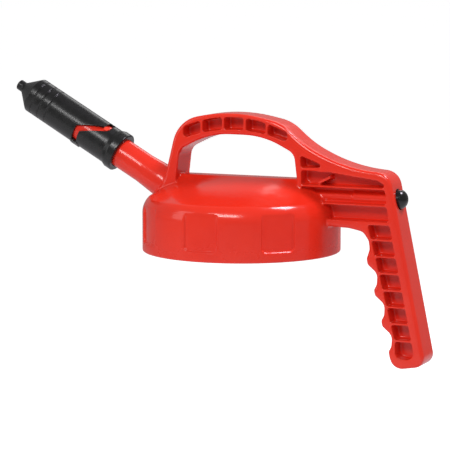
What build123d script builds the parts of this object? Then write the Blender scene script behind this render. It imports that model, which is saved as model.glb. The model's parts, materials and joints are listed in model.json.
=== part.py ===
from build123d import *
from math import atan2, cos, degrees, hypot, radians, sin
import os

# Dispensing lid for an oil drum: a screw cap with carry handle, pistol grip,
# thumb-button air vent and a tilted spout with a twist nozzle.
#
# Millimetres, +Z up.  The origin is on the cap's thread axis, in the plane of
# its bottom rim.  The spout points towards -X and the grip hangs at +X.

os.makedirs("parts", exist_ok=True)

# ---------------------------------------------------------------- cap
CAP_R = 66.4             # outside of the skirt
SKIRT_TOP = 25.0         # where the shoulder starts to turn in
RIM_R = 0.6              # rounding of the bottom rim
SHOULDER_R, SHOULDER_Z = 62.0, 36.0      # where the shoulder meets the roof
WALL_R = 62.5            # inside of the skirt, behind the thread
LAND_R, LAND_H = 63.2, 6.0               # plain guide land at the mouth
SEAT_Z = 30.5            # flat seat for the drum gasket
SEAT_R = 54.0            # inner radius of that seat
PANELS, PANEL_HALF, PANEL_DEPTH = 8, 10.0, 1.2
PANEL_LOW, PANEL_HIGH = 6.5, 32.0
THREAD_STARTS, THREAD_PITCH, THREAD_ARC = 4, 16.0, 74.0
THREAD_DEPTH, THREAD_Z = 1.6, 10.0

# ---------------------------------------------------------------- roof ridge
RIDGE_TOP = 50.0
RIDGE_LEFT, RIDGE_RIGHT = -50.0, 47.5
RIDGE_HALF = 5.5
ROOF_WALL = 3.0

# ---------------------------------------------------------------- frame plate
HALF = 11.0              # half thickness of handle, web and grip
EDGE = 2.2               # rounding of its outside edges
HAND_EDGE = 1.2          # and of the hand opening
FLOOR = 1.5              # half thickness of the middle web
RIB = 1.4
BACK_SLOPE = 0.21        # how far the grip's back leans out per mm down
BACK_X, BACK_Z = 113.4, 31.4
FINGER_PITCH, FINGER_STEP = 19.94, 5.22    # groove spacing down and outwards
POCKET_PITCH = 10.83
CROWN_RIB, CROWN_PITCH, CROWN_RIB_X = 1.7, 15.75, -24.6

# ---------------------------------------------------------------- spout
TILT = 29.5              # spout above the horizontal
ROOT = (-60.0, 0.0, 44.9)                # where the tube leaves the lid
TUBE_R, TUBE_ROOT_R, TUBE_BORE = 10.2, 11.25, 7.5
TAIL, FLARE, HEAD = -6.0, 14.0, 40.0     # tube stations along its axis
HEAD_R, TUBE_END = 10.65, 88.0
PEDESTAL_X, PEDESTAL_R = -54.0, 10.5     # round foot under the tube
PEDESTAL_LOW, PEDESTAL_HIGH = 29.0, 45.0

# ---------------------------------------------------------------- nozzle
NOZZLE_REAR, NOZZLE_SHOULDER = 34.0, 110.8
CONE_END, NOZZLE_TIP = 120.9, 125.9
NOZZLE_R, BEAD_R, NUB_R = 12.65, 13.85, 3.7
NOZZLE_BORE, OUTLET_R = 10.75, 2.6
SLOT_W = 4.0
SLOT_REAR, SLOT_RISE = 49.5, 17.1        # station of the rear dwell, ramp length
SLOT_TOP, RAMP_HIGH, RAMP_LOW, SLOT_END = 97.0, 57.0, 6.0, -38.0   # degrees
LUG_R, LUG_TOP, PEG_R = 1.75, 12.85, 1.4
MOUTH_R, WIPER_REAR, WIPER_FRONT, WIPER_GROOVE_R = 10.4, 35.4, 38.4, 11.8
RAMP_STEPS = 8
RING_FIRST, RING_PITCH = 4.8, 6.3
SEAL_STATIONS = (77.0, 83.0)
SEAL_MINOR, GROOVE_DEPTH, GROOVE_W = 0.78, 1.55, 1.9
PIN_R, PIN_TIP = 2.5, 106.0

# ---------------------------------------------------------------- vent
VENT_Z = 39.1
BUTTON_R, BUTTON_FACE, BUTTON_REAR = 6.2, 117.3, 110.5
BUTTON_POCKET = 107.2    # floor of the pocket that the button sinks into
HUB_R, HUB_END = 2.7, 107.6
BUSH = 4.0               # length of each rod bush
SPRING_R, SPRING_WIRE, SPRING_TURNS = 2.2, 0.3, 10
POPPET_R, POPPET_SEAL_R = 5.0, 4.6
CHAMBER_R, CHAMBER_X = 3.4, 82.0
DUCT_R, DUCT_THIN_R, AIR_R = 4.9, 4.2, 2.6
ROD_R = 1.3
SEAT_FACE = 44.0         # where the vent seat looks into the cap
ROD_START, ROD_END = 39.1, 113.8
FRONT_BUSH_X = 50.0
GASKET = 2.5

RUN = 0.05               # radial clearance of running fits


def spout_plane(station):
    """Plane across the spout: local x is -Y, local y is up, local z runs to the tip."""
    t = radians(TILT)
    axis = (-cos(t), 0, sin(t))
    origin = tuple(r + station * a for r, a in zip(ROOT, axis))
    return Plane(origin=origin, x_dir=(0, -1, 0), z_dir=axis)


def vent_plane(x):
    """Plane across the vent axis, looking along +X."""
    return Plane(origin=(x, 0, VENT_Z), x_dir=(0, 1, 0), z_dir=(1, 0, 0))


def side_plane(angle, radius):
    """Upright plane that faces outwards at this angle round the cap."""
    c, s = cos(radians(angle)), sin(radians(angle))
    return Plane(origin=(radius * c, radius * s, 0), x_dir=(-s, c, 0), z_dir=(c, s, 0))


def radial_plane(angle, station):
    """Plane on the spout axis that looks outwards at this angle round it."""
    base = spout_plane(station)
    out = base.x_dir * cos(radians(angle)) + base.y_dir * sin(radians(angle))
    return Plane(origin=base.origin, x_dir=base.z_dir, z_dir=out)


def save(part, name):
    part.label = name
    export_step(part, f"parts/{name}.step")


def back_x(z):
    return BACK_X + BACK_SLOPE * (BACK_Z - z)


# Spout pieces are turned about the spout axis from half sections, in which
# the first coordinate is the radius and the second the station.
def spout_section():
    base = spout_plane(0)
    return Plane(origin=base.origin, x_dir=base.x_dir, z_dir=-base.y_dir)


SPOUT_SECTION = spout_section()
SPOUT_AXIS = Axis(ROOT, spout_plane(0).z_dir)
VENT_AXIS = Axis((0, 0, VENT_Z), (1, 0, 0))


# ================================================================ frame plate
# Outline of the handle, web and grip seen from the side: corners of a polygon
# with the radius that rounds each of them, from the spout side over the top.
TOP_CORNERS = [
    ((-57.5, 38.0), 0), ((-52.8, 46.2), 12), ((-42.7, 86.2), 22.5), ((-4.3, 94.7), 115),
    ((32.9, 86.8), 28), ((49.1, 72.7), 72), ((77.6, 59.1), 108), ((back_x(56.5), 56.5), 11),
    ((back_x(-67.5), -67.5), 7), ((112.0, -71.3), 8),
]
# Corners of the first finger groove, from the top of its crest down.
CREST_TOP, CREST_BOTTOM = ((92.8, 0.6), 2.6), ((93.5, -3.2), 2.5)
VALLEY_TOP, VALLEY_BOTTOM = ((100.25, -8.8), 6), ((99.95, -16.1), 6)
THROAT = [((94.8, 6.8), 4), ((94.2, 12.3), 5), ((90.2, 17.9), 6), ((80.4, 19.9), 30)]
WEB_UNDERSIDE = (60.0, 20.4)


def lowered(corner, k):
    """This corner of the first finger groove, moved down to groove k."""
    (x, z), radius = corner
    return ((x + k * FINGER_STEP, z - k * FINGER_PITCH), radius)


outline = TOP_CORNERS + [lowered(CREST_BOTTOM, 3), lowered(CREST_TOP, 3)]
for k in (2, 1, 0):
    for corner in (VALLEY_BOTTOM, VALLEY_TOP, CREST_BOTTOM, CREST_TOP):
        outline.append(lowered(corner, k))
outline += THROAT + [(WEB_UNDERSIDE, 0)]

HAND_CORNERS = [((-43.9, 44), 3), ((-41.2, 67.0), 8), ((-18, 78.3), 60), ((20, 78.0), 60),
                ((41.9, 67.0), 8), ((44.7, 44), 3)]

# Windows of the web between handle and grip (above rib A, then between ribs A, B, C and D)
# and of the grip, one between each pair of ribs.
RIB_B, RIB_C, RIB_D = 46.4, 35.5, 24.5
WEB_LEFT, WEB_RIGHT = 47.3, 105.4
GRIP_TOP, GRIP_BOTTOM = 22.8, -63.6


def pocket_left(z):
    return 96.4 + 0.259 * (13.3 - z)


def pocket_right(z):
    return 110.7 + BACK_SLOPE * (13.3 - z)


def window(*points, radius=1.3):
    """Edges of one window: a closed polygon with rounded corners."""
    with BuildLine() as edge:
        FilletPolyline(*points, radius=radius, close=True)
    return edge.edges()


HALF_RIB = RIB / 2
web_window_edges = [
    window((WEB_LEFT - 1, 66.2), (56.4, 62.4), (65.5, 58.8), (WEB_LEFT, 58.2)),
    window((WEB_LEFT, 56.4), (66, 55.9), (80, 54.2), (100.3, 51.8), (104.5, 49.4),
           (104.7, RIB_B + HALF_RIB), (WEB_LEFT, RIB_B + HALF_RIB), radius=1.0),
    window((WEB_LEFT, RIB_B - HALF_RIB), (WEB_RIGHT, RIB_B - HALF_RIB),
           (WEB_RIGHT + 1, RIB_C + HALF_RIB), (WEB_LEFT, RIB_C + HALF_RIB)),
    window((WEB_LEFT, RIB_C - HALF_RIB), (WEB_RIGHT + 1.2, RIB_C - HALF_RIB),
           (WEB_RIGHT + 2.8, RIB_D + HALF_RIB), (WEB_LEFT, RIB_D + HALF_RIB)),
]
grip_ribs = [13.3 - k * POCKET_PITCH for k in range(7)]
grip_window_edges = []
for top, floor in zip([GRIP_TOP] + [z - HALF_RIB for z in grip_ribs],
                      [z + HALF_RIB for z in grip_ribs] + [GRIP_BOTTOM]):
    last = floor == GRIP_BOTTOM
    grip_window_edges.append(window(
        (pocket_left(top), top), (pocket_right(top), top), (pocket_right(floor), floor),
        (pocket_left(floor) - (2.5 if last else 0), floor),
        radius=[0.9, 0.9, 4.5, 4.5] if last else 0.9))


with BuildPart() as frame_plate:
    with BuildSketch(Plane.XZ):
        with BuildLine():
            FilletPolyline(*[p for p, r in outline], radius=[r for p, r in outline[1:-1]])
            Polyline(WEB_UNDERSIDE, (40, 40), (-40, 40), outline[0][0])
        make_face()
    extrude(amount=HALF, both=True)
    rims = [e for e in frame_plate.edges() if abs(abs(e.center().Y) - HALF) < 0.01
            and not (e.center().Z < 41 and e.center().X < 55)]
    fillet(rims, EDGE)
    with BuildSketch(Plane.XZ):
        with BuildLine():
            FilletPolyline(*[p for p, r in HAND_CORNERS], close=True,
                           radius=[r for p, r in HAND_CORNERS])
        make_face()
    extrude(amount=HALF + 1, both=True, mode=Mode.SUBTRACT)
    sides = frame_plate.faces().sort_by(Axis.Y)
    fillet([e for side in (sides[0], sides[-1]) for e in side.inner_wires()[0].edges()],
           HAND_EDGE)

    # five windows along the crown, between two arcs
    with BuildSketch(Plane.XZ, mode=Mode.PRIVATE) as crown_windows:
        with BuildLine():
            low = ThreePointArc((-38.0, 74.6), (-0.5, 81.5), (37.4, 74.3))
            high = ThreePointArc((-38.0, 82.2), (-0.5, 89.6), (37.4, 80.4))
            Line(low @ 0, high @ 0)
            Line(low @ 1, high @ 1)
        make_face()
        with Locations(*[(CROWN_RIB_X + k * CROWN_PITCH, 80) for k in range(4)]):
            Rectangle(CROWN_RIB, 24, mode=Mode.SUBTRACT)
        fillet(crown_windows.vertices().sort_by(Axis.X)[2:-2], 1.4)
        fillet(crown_windows.vertices().sort_by(Axis.X)[:2], 2.3)
        fillet(crown_windows.vertices().sort_by(Axis.X)[-2:], 2.3)
    with BuildSketch(Plane.XZ, mode=Mode.PRIVATE) as web_windows:
        for edges in web_window_edges + grip_window_edges:
            make_face(edges)
    for sketch in (crown_windows, web_windows):
        extrude(sketch.sketch, amount=HALF + 1, both=True, mode=Mode.SUBTRACT)
        extrude(sketch.sketch, amount=FLOOR, both=True)
    # short slanted gusset in the window below rib A
    with BuildSketch(Plane.XZ):
        with Locations((63.1, 50.5)):
            Rectangle(9.2, 1.6, rotation=28)
    extrude(amount=HALF - 1.5, both=True)
    # vent duct, thicker where it holds the spring
    with BuildSketch(vent_plane(44)):
        Circle(DUCT_THIN_R)
    extrude(amount=CHAMBER_X - 44)
    with BuildSketch(vent_plane(CHAMBER_X - 1.0)):
        Circle(DUCT_R)
    extrude(amount=BUTTON_POCKET - CHAMBER_X + 1.0)

# ================================================================ cap
with BuildPart() as envelope:
    with BuildSketch(Plane.XZ):
        with BuildLine():
            Polyline((0, SHOULDER_Z), (0, 0), (CAP_R - RIM_R, 0))
            RadiusArc((CAP_R - RIM_R, 0), (CAP_R, RIM_R), -RIM_R)
            Line((CAP_R, RIM_R), (CAP_R, SKIRT_TOP))
            ThreePointArc((CAP_R, SKIRT_TOP), (CAP_R - 1.1, 31.2), (SHOULDER_R, SHOULDER_Z))
            Line((SHOULDER_R, SHOULDER_Z), (0, SHOULDER_Z))
        make_face()
    revolve(axis=Axis.Z)


def roof(bottom_r, bottom_z, left, right, half, top_z):
    """Roof from a circle up to a narrow slot-shaped ridge."""
    corner = 40.0                       # where the circle's four arcs meet
    with BuildPart() as shell:
        with BuildSketch(Plane.XY.offset(bottom_z)):
            with BuildLine():
                for start, size in ((-corner, 2 * corner), (corner, 180 - 2 * corner),
                                    (180 - corner, 2 * corner), (180 + corner, 180 - 2 * corner)):
                    CenterArc((0, 0), bottom_r, start, size)
            make_face()
        with BuildSketch(Plane.XY.offset(top_z)):
            with BuildLine():
                ThreePointArc((right - half, -half), (right, 0), (right - half, half))
                Line((right - half, half), (left + half, half))
                ThreePointArc((left + half, half), (left, 0), (left + half, -half))
                Line((left + half, -half), (right - half, -half))
            make_face()
        loft(ruled=True)
    return shell.part


outer_roof = roof(SHOULDER_R, SHOULDER_Z - 0.01, RIDGE_LEFT, RIDGE_RIGHT, RIDGE_HALF, RIDGE_TOP)
inner_roof = roof(SEAT_R, SEAT_Z, RIDGE_LEFT + ROOF_WALL + 1, RIDGE_RIGHT - ROOF_WALL - 1,
                  RIDGE_HALF - 2.5, RIDGE_TOP - ROOF_WALL)

# ================================================================ cut tools
with BuildPart() as panel_tool:
    for k in range(1, PANELS):          # the web takes the place of the first one
        with BuildSketch(side_plane(k * 360 / PANELS, CAP_R - 6)):
            with Locations((0, (PANEL_LOW + PANEL_HIGH) / 2)):
                RectangleRounded(2 * CAP_R * sin(radians(PANEL_HALF)), PANEL_HIGH - PANEL_LOW, 3.5)
        extrude(amount=12)
    with BuildSketch(Plane.XY):
        Circle(CAP_R - PANEL_DEPTH)
    extrude(amount=60, mode=Mode.SUBTRACT)

# Thread starts inside the skirt, short helical ridges for the drum neck.
with BuildPart() as thread_start:
    with BuildLine() as path:
        Helix(THREAD_PITCH, THREAD_PITCH * THREAD_ARC / 360, WALL_R + 0.3, center=(0, 0, THREAD_Z))
    with BuildSketch(Plane(origin=path.line @ 0, x_dir=(0, 0, -1), z_dir=path.line % 0)):
        Trapezoid(3.6, THREAD_DEPTH + 0.3, 62, align=(Align.CENTER, Align.MIN))
    sweep(path=path.line, is_frenet=True)
with BuildPart() as thread:
    with PolarLocations(0, THREAD_STARTS):
        add(thread_start.part)

# Z-shaped cam slots: a level stretch round the sleeve, a ramp, and a second
# level stretch, each cut radially; one pair, half a turn apart.
with BuildPart() as slot_cutter:
    for start, end, station in ((RAMP_HIGH, SLOT_TOP, SLOT_REAR),
                                (SLOT_END, RAMP_LOW, SLOT_REAR + SLOT_RISE)):
        with BuildSketch(spout_plane(station - SLOT_W / 2)):
            with BuildLine():
                far = CenterArc((0, 0), NOZZLE_R + 3, start, end - start)
                near = CenterArc((0, 0), HEAD_R - 1, start, end - start)
                Line(far @ 0, near @ 0)
                Line(far @ 1, near @ 1)
            make_face()
        extrude(amount=SLOT_W)
    for angle, station in ((SLOT_TOP, SLOT_REAR), (RAMP_HIGH, SLOT_REAR),
                           (RAMP_LOW, SLOT_REAR + SLOT_RISE), (SLOT_END, SLOT_REAR + SLOT_RISE)):
        with BuildSketch(radial_plane(angle, station).offset(HEAD_R - 1)):
            Circle(SLOT_W / 2)
        extrude(amount=NOZZLE_R + 4 - HEAD_R)
    # the ramp in short straight steps, each square to its own radius
    twist = (RAMP_HIGH - RAMP_LOW) / RAMP_STEPS
    climb = SLOT_RISE / RAMP_STEPS
    width = radians(twist) * NOZZLE_R
    for k in range(RAMP_STEPS):
        step = radial_plane(RAMP_HIGH - (k + 0.5) * twist, SLOT_REAR + (k + 0.5) * climb)
        with BuildSketch(step.offset(HEAD_R - 1)):
            Rectangle(hypot(climb, width) + 0.3, SLOT_W, rotation=degrees(atan2(width, climb)))
        extrude(amount=NOZZLE_R + 4 - HEAD_R)
lug_planes = [radial_plane(RAMP_HIGH + turn, SLOT_REAR) for turn in (0, 180)]

# Hollow of the cap, less the bosses that hold the spout tube and the vent seat.
with BuildPart() as hollow:
    add(inner_roof)
    with BuildSketch(spout_plane(TAIL - 2.0)):
        Circle(TUBE_ROOT_R + 2.2)
    extrude(amount=20, mode=Mode.SUBTRACT)
    with BuildSketch(vent_plane(SEAT_FACE)):
        Circle(7.0)
    extrude(amount=20, mode=Mode.SUBTRACT)
    with BuildSketch(Plane.XY):
        Circle(WALL_R)
    extrude(amount=SEAT_Z)
    with BuildSketch(Plane.XY.offset(-1)):
        Circle(LAND_R)
    extrude(amount=LAND_H + 1)

# Seat of the spout tube, and its way into the cap.
with BuildPart() as spout_bores:
    with BuildSketch(spout_plane(TAIL)):
        Circle(TUBE_ROOT_R)
    extrude(amount=30)
    with BuildSketch(spout_plane(TAIL - 14)):
        Circle(TUBE_BORE)
    extrude(amount=16)

# Air way, spring chamber and button pocket.
with BuildPart() as vent_bores:
    for x, radius, length in ((SEAT_FACE - 1, AIR_R, CHAMBER_X - SEAT_FACE + 2),
                              (CHAMBER_X, CHAMBER_R, BUTTON_POCKET - CHAMBER_X + 1),
                              (BUTTON_POCKET, BUTTON_R + RUN, 12)):
        with BuildSketch(vent_plane(x)):
            Circle(radius)
        extrude(amount=length)

# Round foot that carries the spout tube where it leaves the roof.
with BuildPart() as pedestal:
    with BuildSketch(Plane.XY.offset(PEDESTAL_LOW)):
        with Locations((PEDESTAL_X, 0)):
            Circle(PEDESTAL_R)
    extrude(amount=PEDESTAL_HIGH - PEDESTAL_LOW)

with BuildPart() as lid_cap:
    add(envelope.part)
    add(outer_roof)
    add(pedestal.part)
    add(hollow.part, mode=Mode.SUBTRACT)
    add(panel_tool.part, mode=Mode.SUBTRACT)
    add(thread.part)
    add(spout_bores.part, mode=Mode.SUBTRACT)
    add(vent_bores.part, mode=Mode.SUBTRACT)
save(lid_cap.part, "lid_cap")

with BuildPart() as handle_grip:
    add(frame_plate.part)
    add(envelope.part, mode=Mode.SUBTRACT)
    add(outer_roof, mode=Mode.SUBTRACT)
    add(pedestal.part, mode=Mode.SUBTRACT)
    add(spout_bores.part, mode=Mode.SUBTRACT)
    add(vent_bores.part, mode=Mode.SUBTRACT)
save(handle_grip.part, "handle_grip")


# ================================================================ spout tube
GROOVE_R = HEAD_R - GROOVE_DEPTH        # bottom of the two seal grooves


def spout_ring(name, station, minor_r, mean_r):
    """A round-section ring on the spout's axis."""
    with BuildPart() as ring:
        with BuildSketch(SPOUT_SECTION):
            with Locations((mean_r, station)):
                Circle(minor_r)
        revolve(axis=SPOUT_AXIS)
    save(ring.part, name)
    return ring.part


with BuildPart() as spout_tube:
    with BuildSketch(SPOUT_SECTION):
        with BuildLine():
            Polyline((TUBE_BORE, TAIL), (TUBE_ROOT_R, TAIL), (TUBE_ROOT_R, 0.0),
                     (TUBE_R, FLARE), (TUBE_R, HEAD), (HEAD_R, HEAD + 0.8),
                     (HEAD_R, TUBE_END - 1.0), (HEAD_R - 1.0, TUBE_END), (TUBE_BORE, TUBE_END),
                     close=True)
        make_face()
    revolve(axis=SPOUT_AXIS)
    # grooves of the two nozzle seals
    for station in SEAL_STATIONS:
        with BuildSketch(SPOUT_SECTION):
            with Locations((GROOVE_R + 2, station)):
                Rectangle(4, GROOVE_W)
        revolve(axis=SPOUT_AXIS, mode=Mode.SUBTRACT)
    # holes for the pegs of the two drive lugs
    for plane in lug_planes:
        with BuildSketch(plane):
            Circle(PEG_R)
        extrude(amount=HEAD_R + 1, mode=Mode.SUBTRACT)
save(spout_tube.part, "spout_tube")

with BuildPart() as drive_lugs:
    for plane in lug_planes:
        with BuildSketch(plane.offset(TUBE_BORE)):
            Circle(PEG_R)
        extrude(amount=HEAD_R - TUBE_BORE + 0.1)
        with BuildSketch(plane.offset(HEAD_R + 0.02)):
            Circle(LUG_R)
        extrude(amount=LUG_TOP - HEAD_R - 0.02)
save(drive_lugs.part, "drive_lugs")

# Closing pin: a spider pressed into the tube's end carries the pin that plugs
# the outlet once the nozzle has been twisted back.
with BuildPart() as closing_pin:
    with BuildSketch(spout_plane(TUBE_END - 7)):
        Circle(TUBE_BORE)
        Circle(TUBE_BORE - 1.2, mode=Mode.SUBTRACT)
        with PolarLocations(0, 3):
            with Locations((TUBE_BORE / 2 - 0.3, 0)):
                Rectangle(TUBE_BORE - 0.8, 1.6)
    extrude(amount=7)
    with BuildSketch(SPOUT_SECTION):
        with BuildLine():
            Polyline((0, TUBE_END - 7), (2.2, TUBE_END - 7), (2.2, PIN_TIP - 6.5),
                     (PIN_R, PIN_TIP - 6.0), (PIN_R, PIN_TIP - 1.2), (1.1, PIN_TIP),
                     (0, PIN_TIP), close=True)
        make_face()
    revolve(axis=SPOUT_AXIS)
    with BuildSketch(SPOUT_SECTION):
        with Locations((PIN_R, PIN_TIP - 3.2)):
            Rectangle(1.7, 1.1)
    revolve(axis=SPOUT_AXIS, mode=Mode.SUBTRACT)
save(closing_pin.part, "closing_pin")
spout_ring("closing_pin_seal", PIN_TIP - 3.2, 0.44, PIN_R - 0.38)
for name, station in zip(("nozzle_seal_rear", "nozzle_seal_front"), SEAL_STATIONS):
    spout_ring(name, station, SEAL_MINOR, GROOVE_R + SEAL_MINOR + 0.02)

# ================================================================ twist nozzle
with BuildPart() as nozzle_sleeve:
    with BuildSketch(SPOUT_SECTION):
        with BuildLine():
            Polyline((MOUTH_R, NOZZLE_REAR), (BEAD_R - 0.6, NOZZLE_REAR),
                     (BEAD_R, NOZZLE_REAR + 0.6), (BEAD_R, NOZZLE_REAR + 5.5),
                     (NOZZLE_R, NOZZLE_REAR + 8.5), (NOZZLE_R, NOZZLE_SHOULDER),
                     (NUB_R + 0.3, CONE_END), (NUB_R, CONE_END + 0.5), (NUB_R, NOZZLE_TIP - 0.5),
                     (NUB_R - 0.5, NOZZLE_TIP), (OUTLET_R, NOZZLE_TIP), (OUTLET_R, CONE_END - 4.5),
                     (NOZZLE_BORE, NOZZLE_SHOULDER - 2.0), (NOZZLE_BORE, WIPER_FRONT),
                     (WIPER_GROOVE_R, WIPER_FRONT), (WIPER_GROOVE_R, WIPER_REAR),
                     (MOUTH_R, WIPER_REAR), close=True)
        make_face()
    revolve(axis=SPOUT_AXIS)
    # three fine rings cut behind the shoulder
    for k in range(3):
        with BuildSketch(SPOUT_SECTION):
            with Locations((NOZZLE_R, NOZZLE_SHOULDER - RING_FIRST - k * RING_PITCH)):
                Rectangle(0.9, 0.8)
        revolve(axis=SPOUT_AXIS, mode=Mode.SUBTRACT)
    # pad beside the far end of one cam slot
    with BuildSketch(spout_plane(SLOT_REAR + SLOT_RISE - 4)):
        with BuildLine():
            pad_out = CenterArc((0, 0), NOZZLE_R + 0.7, SLOT_END - 33, 24)
            pad_in = CenterArc((0, 0), NOZZLE_R - 0.5, SLOT_END - 33, 24)
            Line(pad_out @ 0, pad_in @ 0)
            Line(pad_out @ 1, pad_in @ 1)
        make_face()
    extrude(amount=7)
    add(slot_cutter.part, mode=Mode.SUBTRACT)
    add(slot_cutter.part.rotate(SPOUT_AXIS, 180), mode=Mode.SUBTRACT)
save(nozzle_sleeve.part, "nozzle_sleeve")

with BuildPart() as wiper_ring:
    with BuildSketch(SPOUT_SECTION):
        with BuildLine():
            Polyline((TUBE_R + RUN, WIPER_REAR + 0.05), (WIPER_GROOVE_R - RUN, WIPER_REAR + 0.05),
                     (WIPER_GROOVE_R - RUN, WIPER_FRONT - 0.05),
                     (TUBE_R + 0.7, WIPER_FRONT - 0.05), close=True)
        make_face()
    revolve(axis=SPOUT_AXIS)
save(wiper_ring.part, "wiper_ring")

# ================================================================ cap gasket
with BuildPart() as lid_gasket:
    with BuildSketch(Plane.XY.offset(SEAT_Z - GASKET)):
        Circle(WALL_R - 0.3)
        Circle(SEAT_R + 1.0, mode=Mode.SUBTRACT)
    extrude(amount=GASKET)
save(lid_gasket.part, "lid_gasket")

# ================================================================ vent
with BuildPart() as vent_button:
    with BuildSketch(Plane.XZ):
        with BuildLine():
            dome = ThreePointArc((BUTTON_FACE, VENT_Z), (BUTTON_FACE - 0.9, VENT_Z + 3.7),
                                 (BUTTON_FACE - 3.6, VENT_Z + BUTTON_R))
            Polyline(dome @ 1, (BUTTON_REAR, VENT_Z + BUTTON_R),
                     (BUTTON_REAR, VENT_Z + BUTTON_R - 1.3), (BUTTON_REAR + 2.6, VENT_Z + BUTTON_R - 1.3),
                     (BUTTON_REAR + 2.6, VENT_Z + HUB_R), (HUB_END, VENT_Z + HUB_R),
                     (HUB_END, VENT_Z + ROD_R), (ROD_END, VENT_Z + ROD_R), (ROD_END, VENT_Z),
                     dome @ 0)
        make_face()
    revolve(axis=VENT_AXIS)
save(vent_button.part, "vent_button")

with BuildPart() as vent_rod:
    with BuildSketch(vent_plane(ROD_START)):
        Circle(ROD_R)
    extrude(amount=ROD_END - ROD_START)
    chamfer(vent_rod.edges().filter_by(GeomType.CIRCLE), 0.3)
save(vent_rod.part, "vent_rod")


def rod_bush(name, x, outer_r):
    """Guide bush with three air slots round its edge."""
    with BuildPart() as bush:
        with BuildSketch(vent_plane(x)):
            Circle(outer_r)
            Circle(ROD_R + RUN, mode=Mode.SUBTRACT)
            with PolarLocations(outer_r, 3):
                Circle(0.75, mode=Mode.SUBTRACT)
        extrude(amount=BUSH)
    save(bush.part, name)


rod_bush("rear_rod_bush", CHAMBER_X, CHAMBER_R)
rod_bush("front_rod_bush", FRONT_BUSH_X, AIR_R)


def vent_disc(name, start, end, outer_r, inner_r=ROD_R):
    with BuildPart() as disc:
        with BuildSketch(vent_plane(start)):
            Circle(outer_r)
            Circle(inner_r, mode=Mode.SUBTRACT)
        extrude(amount=end - start)
    save(disc.part, name)


vent_disc("poppet_seal", SEAT_FACE - 1.45, SEAT_FACE - 0.02, POPPET_SEAL_R)
vent_disc("vent_poppet", SEAT_FACE - 3.2, SEAT_FACE - 1.45, POPPET_R)
vent_disc("poppet_clip", SEAT_FACE - 3.9, SEAT_FACE - 3.2, 2.6)
vent_disc("spring_washer", HUB_END - 0.6, HUB_END, SPRING_R + 0.5)

with BuildPart() as vent_spring:
    start = CHAMBER_X + BUSH + SPRING_WIRE
    length = HUB_END - 0.6 - SPRING_WIRE - start
    with BuildLine() as coil:
        Helix(length / SPRING_TURNS, length, SPRING_R, center=(start, 0, VENT_Z), direction=(1, 0, 0))
    with BuildSketch(Plane(origin=coil.line @ 0, z_dir=coil.line % 0)):
        Circle(SPRING_WIRE)
    sweep(path=coil.line, is_frenet=True)
save(vent_spring.part, "vent_spring")
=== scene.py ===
import json
from math import cos, hypot, radians, sin

import bmesh
import bpy
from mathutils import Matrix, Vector


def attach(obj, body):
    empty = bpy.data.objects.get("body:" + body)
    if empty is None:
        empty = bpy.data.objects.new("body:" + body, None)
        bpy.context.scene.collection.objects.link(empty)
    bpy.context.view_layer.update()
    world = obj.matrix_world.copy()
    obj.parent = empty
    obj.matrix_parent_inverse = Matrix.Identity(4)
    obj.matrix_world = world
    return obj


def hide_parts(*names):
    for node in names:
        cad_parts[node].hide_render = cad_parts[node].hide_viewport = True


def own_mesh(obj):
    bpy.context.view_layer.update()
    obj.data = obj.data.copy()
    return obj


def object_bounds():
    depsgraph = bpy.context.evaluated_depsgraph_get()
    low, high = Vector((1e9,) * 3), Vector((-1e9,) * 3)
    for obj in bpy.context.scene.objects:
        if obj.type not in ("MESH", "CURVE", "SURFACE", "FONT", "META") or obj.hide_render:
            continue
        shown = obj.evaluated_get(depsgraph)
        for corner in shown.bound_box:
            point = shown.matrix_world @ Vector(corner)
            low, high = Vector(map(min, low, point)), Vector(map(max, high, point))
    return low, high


MM = 0.001

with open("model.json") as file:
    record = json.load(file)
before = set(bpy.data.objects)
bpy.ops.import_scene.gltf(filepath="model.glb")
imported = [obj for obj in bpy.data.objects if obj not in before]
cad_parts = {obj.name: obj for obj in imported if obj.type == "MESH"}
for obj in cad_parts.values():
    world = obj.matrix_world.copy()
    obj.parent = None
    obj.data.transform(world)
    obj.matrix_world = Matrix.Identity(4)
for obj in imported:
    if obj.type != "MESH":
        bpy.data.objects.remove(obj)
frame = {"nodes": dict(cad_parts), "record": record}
cad_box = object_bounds()
NODES = frame["nodes"]

# ---------------------------------------------------------------- vent
VENT_Z = 39.1 * MM
POCKET_FLOOR, POCKET_MOUTH, POCKET_R = 106.8 * MM, 118.0 * MM, 6.5 * MM
POCKET_EDGE = 0.7 * MM   # how far inside its wall a corner still counts as wall

# ---------------------------------------------------------------- camera
AZIMUTH, ELEVATION = radians(24.4), radians(7.21)
DISTANCE = 1.4
TARGET = Vector((-0.01218, 0.0, 0.01606))
LENS, SENSOR = 166.6, 36.0

# ---------------------------------------------------------------- studio
WORLD_LIGHT = 0.31       # strength of the white surroundings, as the lid sees them
FLOOR_DROP = 0.16        # floor below the lid's lowest point, so that it hangs free as on its drum
FLOOR_HALF, FLOOR_GLOW = 60.0, 0.75
LIGHT_AIM = Vector((0.01, 0, 0.03))
# name; right, up and towards the camera; distance; size; power; colour
LIGHTS = (
    ("key", (0.51, 0.86, 0.06), 1.3, (0.36, 0.36), 11, (1.0, 0.94, 1.08)),
    ("front", (-0.30, 0.55, 0.78), 1.6, (0.8, 0.34), 12, (1, 1, 1)),
    ("side", (-0.95, 0.30, 0.25), 1.4, (0.5, 0.9), 2.5, (1, 1, 1)),
    ("rear", (0.30, 0.60, -0.75), 1.4, (0.8, 0.4), 2, (1, 1, 1)),
)


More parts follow.
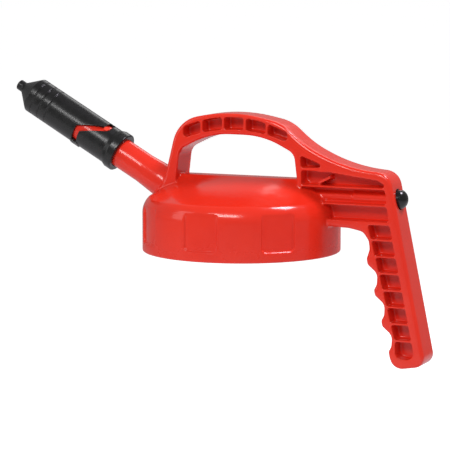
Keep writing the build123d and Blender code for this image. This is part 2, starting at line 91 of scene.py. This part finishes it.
def make_camera():
    back = Vector((sin(AZIMUTH) * cos(ELEVATION), -cos(AZIMUTH) * cos(ELEVATION), sin(ELEVATION)))
    data = bpy.data.cameras.new("camera")
    data.lens = LENS
    data.sensor_width = SENSOR
    data.clip_start, data.clip_end = 0.05, 20
    camera = bpy.data.objects.new("camera", data)
    bpy.context.scene.collection.objects.link(camera)
    camera.location = TARGET + back * DISTANCE
    camera.rotation_euler = back.to_track_quat("Z", "Y").to_euler()
    bpy.context.scene.camera = camera


# ---------------------------------------------------------------- stage
def add_light(name, direction, distance, size, power, colour):
    """A softbox in this direction from the lid, given along the camera's own axes."""
    right, up, towards = direction
    side = Vector((cos(AZIMUTH), sin(AZIMUTH), 0))
    back = Vector((sin(AZIMUTH), -cos(AZIMUTH), 0))
    ray = (side * right + Vector((0, 0, up)) + back * towards).normalized()
    data = bpy.data.lights.new(name, "AREA")
    data.shape = "RECTANGLE"
    data.size, data.size_y = size
    data.energy = power
    data.color = colour
    light = bpy.data.objects.new(name, data)
    bpy.context.scene.collection.objects.link(light)
    light.location = LIGHT_AIM + ray * distance
    light.rotation_euler = (light.location - LIGHT_AIM).to_track_quat("Z", "Y").to_euler()


def make_floor():
    """Plain pale floor, lit up for the camera alone."""
    z = cad_box[0][2] - FLOOR_DROP
    mesh = bpy.data.meshes.new("floor")
    corners = [(-FLOOR_HALF, -FLOOR_HALF, z), (FLOOR_HALF, -FLOOR_HALF, z),
               (FLOOR_HALF, FLOOR_HALF, z), (-FLOOR_HALF, FLOOR_HALF, z)]
    mesh.from_pydata(corners, [], [(0, 1, 2, 3)])
    floor = bpy.data.objects.new("floor", mesh)
    bpy.context.scene.collection.objects.link(floor)
    material = bpy.data.materials.new("floor")
    material.use_nodes = True
    tree = material.node_tree
    shader = tree.nodes["Principled BSDF"]
    shader.inputs["Base Color"].default_value = (0.8, 0.8, 0.8, 1)
    shader.inputs["Roughness"].default_value = 0.9
    shader.inputs["Emission Color"].default_value = (1, 1, 1, 1)
    seen = tree.nodes.new("ShaderNodeLightPath")
    glow = tree.nodes.new("ShaderNodeMath")
    glow.operation = "MULTIPLY"
    glow.inputs[1].default_value = FLOOR_GLOW
    tree.links.new(seen.outputs["Is Camera Ray"], glow.inputs[0])
    tree.links.new(glow.outputs[0], shader.inputs["Emission Strength"])
    mesh.materials.append(material)


def make_stage():
    """White all round for the camera, a dimmer studio for the light that falls on the lid."""
    world = bpy.data.worlds.new("studio")
    world.use_nodes = True
    tree = world.node_tree
    seen = tree.nodes["Background"]
    seen.inputs["Color"].default_value = (1, 1, 1, 1)
    seen.inputs["Strength"].default_value = 1.0
    cast = tree.nodes.new("ShaderNodeBackground")
    cast.inputs["Color"].default_value = (1, 1, 1, 1)
    cast.inputs["Strength"].default_value = WORLD_LIGHT
    ray = tree.nodes.new("ShaderNodeLightPath")
    mix = tree.nodes.new("ShaderNodeMixShader")
    tree.links.new(ray.outputs["Is Camera Ray"], mix.inputs[0])
    tree.links.new(cast.outputs[0], mix.inputs[1])
    tree.links.new(seen.outputs[0], mix.inputs[2])
    tree.links.new(mix.outputs[0], tree.nodes["World Output"].inputs["Surface"])
    bpy.context.scene.world = world
    bpy.context.scene.view_settings.view_transform = "Standard"

    make_floor()
    for light in LIGHTS:
        add_light(*light)


# ---------------------------------------------------------------- materials
class Nodes:
    """Short forms for building a material's node tree."""

    def __init__(self, name):
        self.material = bpy.data.materials.new(name)
        self.material.use_nodes = True
        self.tree = self.material.node_tree
        self.shader = self.tree.nodes["Principled BSDF"]

    def add(self, kind, **settings):
        node = self.tree.nodes.new(kind)
        for key, value in settings.items():
            setattr(node, key, value)
        return node

    def link(self, source, target):
        self.tree.links.new(source, target)

    def coordinates(self):
        return self.add("ShaderNodeTexCoord").outputs["Object"]

    def noise(self, scale, detail=3.0, roughness=0.55, vector=None):
        node = self.add("ShaderNodeTexNoise")
        node.inputs["Scale"].default_value = scale
        node.inputs["Detail"].default_value = detail
        node.inputs["Roughness"].default_value = roughness
        self.link(vector or self.coordinates(), node.inputs["Vector"])
        return node.outputs["Fac"]

    def ramp(self, value, low, high, to_low=0.0, to_high=1.0):
        node = self.add("ShaderNodeMapRange")
        for key, number in zip(("From Min", "From Max", "To Min", "To Max"), (low, high, to_low, to_high)):
            node.inputs[key].default_value = number
        self.link(value, node.inputs["Value"])
        return node.outputs["Result"]

    def math(self, operation, a, b):
        node = self.add("ShaderNodeMath", operation=operation)
        for socket, value in zip(node.inputs, (a, b)):
            if isinstance(value, (int, float)):
                socket.default_value = value
            else:
                self.link(value, socket)
        return node.outputs[0]

    def mix(self, factor, a, b):
        node = self.add("ShaderNodeMix", data_type="RGBA")
        for socket, value in zip((node.inputs[0], node.inputs[6], node.inputs[7]), (factor, a, b)):
            if isinstance(value, (int, float, tuple)):
                socket.default_value = value
            else:
                self.link(value, socket)
        return node.outputs[2]

    def bump(self, height, distance, strength=1.0, under=None):
        node = self.add("ShaderNodeBump")
        node.inputs["Distance"].default_value = distance
        node.inputs["Strength"].default_value = strength
        self.link(height, node.inputs["Height"])
        if under is not None:
            self.link(under, node.inputs["Normal"])
        return node.outputs["Normal"]

    def set(self, **sockets):
        for key, value in sockets.items():
            socket = self.shader.inputs[key.replace("_", " ")]
            if isinstance(value, (int, float, tuple)):
                socket.default_value = value
            else:
                self.link(value, socket)


# Darker mottled band on the skirt: it fades in downwards between two heights, fades in outwards
# between two radii, and ends at the skirt's outside.
BAND_HIGH, BAND_LOW = 0.024, 0.004
BAND_INSIDE, BAND_OUTSIDE = (0.0615, 0.0635), (0.0668, 0.0664)

RED = (0.800, 0.030, 0.012, 1)
RED_DEEP = (0.680, 0.018, 0.009, 1)
# painted highlight colour, laid on the moulding's convex edges
RED_EDGE_HIGHLIGHT = (0.900, 0.080, 0.045, 1)


def red_moulding():
    """Glossy injection-moulded polyethylene with a mottled band low on the skirt and a painted highlight
    on its convex edges.
    """
    n = Nodes("red_moulding")
    place = n.coordinates()
    clouds = n.ramp(n.noise(28, 4, 0.6, place), 0.35, 0.65)
    colour = n.mix(n.math("MULTIPLY", clouds, 0.35), RED, RED_DEEP)
    split = n.add("ShaderNodeSeparateXYZ")
    n.link(place, split.inputs[0])
    radius = n.math("SQRT", n.math("ADD", n.math("MULTIPLY", split.outputs[0], split.outputs[0]),
                                   n.math("MULTIPLY", split.outputs[1], split.outputs[1])), 0)
    low = n.ramp(split.outputs[2], BAND_HIGH, BAND_LOW)
    skirt = n.math("MULTIPLY", low, n.ramp(radius, *BAND_INSIDE))
    skirt = n.math("MULTIPLY", skirt, n.ramp(radius, *BAND_OUTSIDE))
    grains = n.noise(900, 2, 0.6, place)
    mottle = n.math("MULTIPLY", skirt, n.ramp(grains, 0.5, 0.72, 0, 0.55))
    colour = n.mix(mottle, colour, RED_DEEP)
    # painted highlight: convex edges are made paler, as if they catch the light
    edge = n.add("ShaderNodeNewGeometry").outputs["Pointiness"]
    colour = n.mix(n.ramp(edge, 0.53, 0.62, 0, 0.6), colour, RED_EDGE_HIGHLIGHT)
    fine = n.noise(1400, 2, 0.5, place)
    waves = n.noise(75, 2, 0.5, place)
    normal = n.bump(waves, 0.00035, 0.5)
    normal = n.bump(fine, 0.00003, 0.5, normal)
    rough = n.ramp(n.noise(60, 4, 0.6, place), 0.3, 0.7, 0.13, 0.21)
    rough = n.math("ADD", rough, n.math("MULTIPLY", skirt, 0.12))
    n.set(Base_Color=colour, Roughness=rough, Normal=normal, IOR=1.46)
    return n.material


def black_nozzle():
    """Satin black nylon with a fine even grain."""
    n = Nodes("black_nozzle")
    place = n.coordinates()
    clouds = n.noise(120, 4, 0.6, place)
    colour = n.mix(n.ramp(clouds, 0.3, 0.7), (0.003, 0.003, 0.003, 1), (0.007, 0.007, 0.007, 1))
    grain = n.noise(1500, 3, 0.6, place)
    normal = n.bump(grain, 0.00006, 0.6)
    rough = n.ramp(n.noise(220, 3, 0.6, place), 0.3, 0.7, 0.22, 0.32)
    n.set(Base_Color=colour, Roughness=rough, Normal=normal)
    return n.material


def black_button():
    n = Nodes("black_button")
    place = n.coordinates()
    colour = n.mix(n.noise(300, 3, 0.6, place), (0.003, 0.003, 0.003, 1), (0.007, 0.007, 0.007, 1))
    normal = n.bump(n.noise(900, 2, 0.5, place), 0.00003, 0.5)
    rough = n.ramp(n.noise(250, 3, 0.6, place), 0.3, 0.7, 0.14, 0.26)
    n.set(Base_Color=colour, Roughness=rough, Normal=normal)
    return n.material


def seal_rubber():
    n = Nodes("seal_rubber")
    place = n.coordinates()
    colour = n.mix(n.noise(500, 4, 0.6, place), (0.014, 0.014, 0.014, 1), (0.032, 0.031, 0.030, 1))
    normal = n.bump(n.noise(2500, 2, 0.5, place), 0.00003, 0.6)
    n.set(Base_Color=colour, Roughness=n.ramp(n.noise(700, 2, 0.5, place), 0.3, 0.7, 0.55, 0.72),
          Normal=normal)
    return n.material


def bright_steel():
    n = Nodes("bright_steel")
    place = n.coordinates()
    stretched = n.add("ShaderNodeMapping")
    stretched.inputs["Scale"].default_value = (60, 2400, 2400)
    n.link(place, stretched.inputs["Vector"])
    draw = n.noise(1, 3, 0.6, stretched.outputs["Vector"])
    colour = n.mix(draw, (0.50, 0.50, 0.52, 1), (0.68, 0.68, 0.70, 1))
    normal = n.bump(draw, 0.00002, 0.5)
    n.set(Base_Color=colour, Metallic=1.0, Roughness=n.ramp(draw, 0.3, 0.7, 0.18, 0.34), Normal=normal)
    return n.material


def natural_acetal():
    n = Nodes("natural_acetal")
    place = n.coordinates()
    colour = n.mix(n.noise(200, 3, 0.6, place), (0.74, 0.73, 0.68, 1), (0.82, 0.81, 0.77, 1))
    normal = n.bump(n.noise(1500, 2, 0.5, place), 0.00003, 0.5)
    n.set(Base_Color=colour, Roughness=n.ramp(n.noise(300, 2, 0.5, place), 0.3, 0.7, 0.32, 0.45),
          Normal=normal)
    return n.material


MATERIALS = {
    "red_plastic": red_moulding(),
    "black_plastic": black_nozzle(),
    "black_button_plastic": black_button(),
    "rubber": seal_rubber(),
    "steel": bright_steel(),
    "natural_acetal": natural_acetal(),
}


def paint(obj, slot):
    obj.data.materials.clear()
    obj.data.materials.append(MATERIALS[slot])


def paint_cad():
    """Gives every CAD node the procedural material of its slot."""
    for entry in frame["record"]["subparts"]:
        node = NODES[entry["node"]]
        for slot in node.material_slots:
            slot.material = MATERIALS[entry["material_slot"]]


# ---------------------------------------------------------------- mouldings
def apply(obj, kind, **settings):
    """Adds a modifier and applies it."""
    modifier = obj.modifiers.new(kind.lower(), kind)
    for key, value in settings.items():
        setattr(modifier, key, value)
    with bpy.context.temp_override(object=obj, active_object=obj, selected_objects=[obj]):
        bpy.ops.object.modifier_apply(modifier=modifier.name)


def clear_pocket(obj):
    """Takes the smoothed walls and floor of the button pocket back, clear of the pressed button."""
    for vertex in obj.data.vertices:
        x, y, z = vertex.co
        radius = hypot(y, z - VENT_Z)
        if not POCKET_FLOOR - MM < x < POCKET_MOUTH or radius > POCKET_R:
            continue
        if x < POCKET_FLOOR + MM:
            vertex.co.x = min(x, POCKET_FLOOR)
        if radius > POCKET_R - POCKET_EDGE:
            grow = POCKET_R / radius
            vertex.co.y = y * grow
            vertex.co.z = VENT_Z + (z - VENT_Z) * grow


def shorten_spring():
    """A steel copy of the vent spring with its own mesh, in place of the CAD vent spring."""
    spring = bpy.data.objects.new("air_valve_spring", NODES["vent_spring"].data.copy())
    bpy.context.scene.collection.objects.link(spring)
    paint(spring, "steel")
    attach(spring, "root")
    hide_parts("vent_spring")
    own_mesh(spring)


def soften(name, nodes, slot, body, voxel, passes, triangles):
    """One moulding with soft edges and corners, made from copies of the CAD nodes that it replaces."""
    shape = bmesh.new()
    for node in nodes:
        shape.from_mesh(NODES[node].data)
    mesh = bpy.data.meshes.new(name)
    shape.to_mesh(mesh)
    shape.free()
    obj = bpy.data.objects.new(name, mesh)
    bpy.context.scene.collection.objects.link(obj)
    apply(obj, "REMESH", mode="VOXEL", voxel_size=voxel, adaptivity=0.0)
    apply(obj, "SMOOTH", factor=0.5, iterations=passes)
    ratio = triangles / (2 * len(obj.data.polygons))
    if ratio < 1:
        apply(obj, "DECIMATE", ratio=ratio)
    obj.data.shade_smooth()
    paint(obj, slot)
    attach(obj, body)
    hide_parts(*nodes)
    return obj


make_camera()
make_stage()
paint_cad()
moulding = soften("lid_moulding", ["lid_cap", "handle_grip", "spout_tube"], "red_plastic", "root",
                  voxel=0.55 * MM, passes=3, triangles=190000)
clear_pocket(moulding)
shorten_spring()
soften("nozzle_shell", ["nozzle_sleeve"], "black_plastic", "nozzle",
       voxel=0.25 * MM, passes=2, triangles=150000)
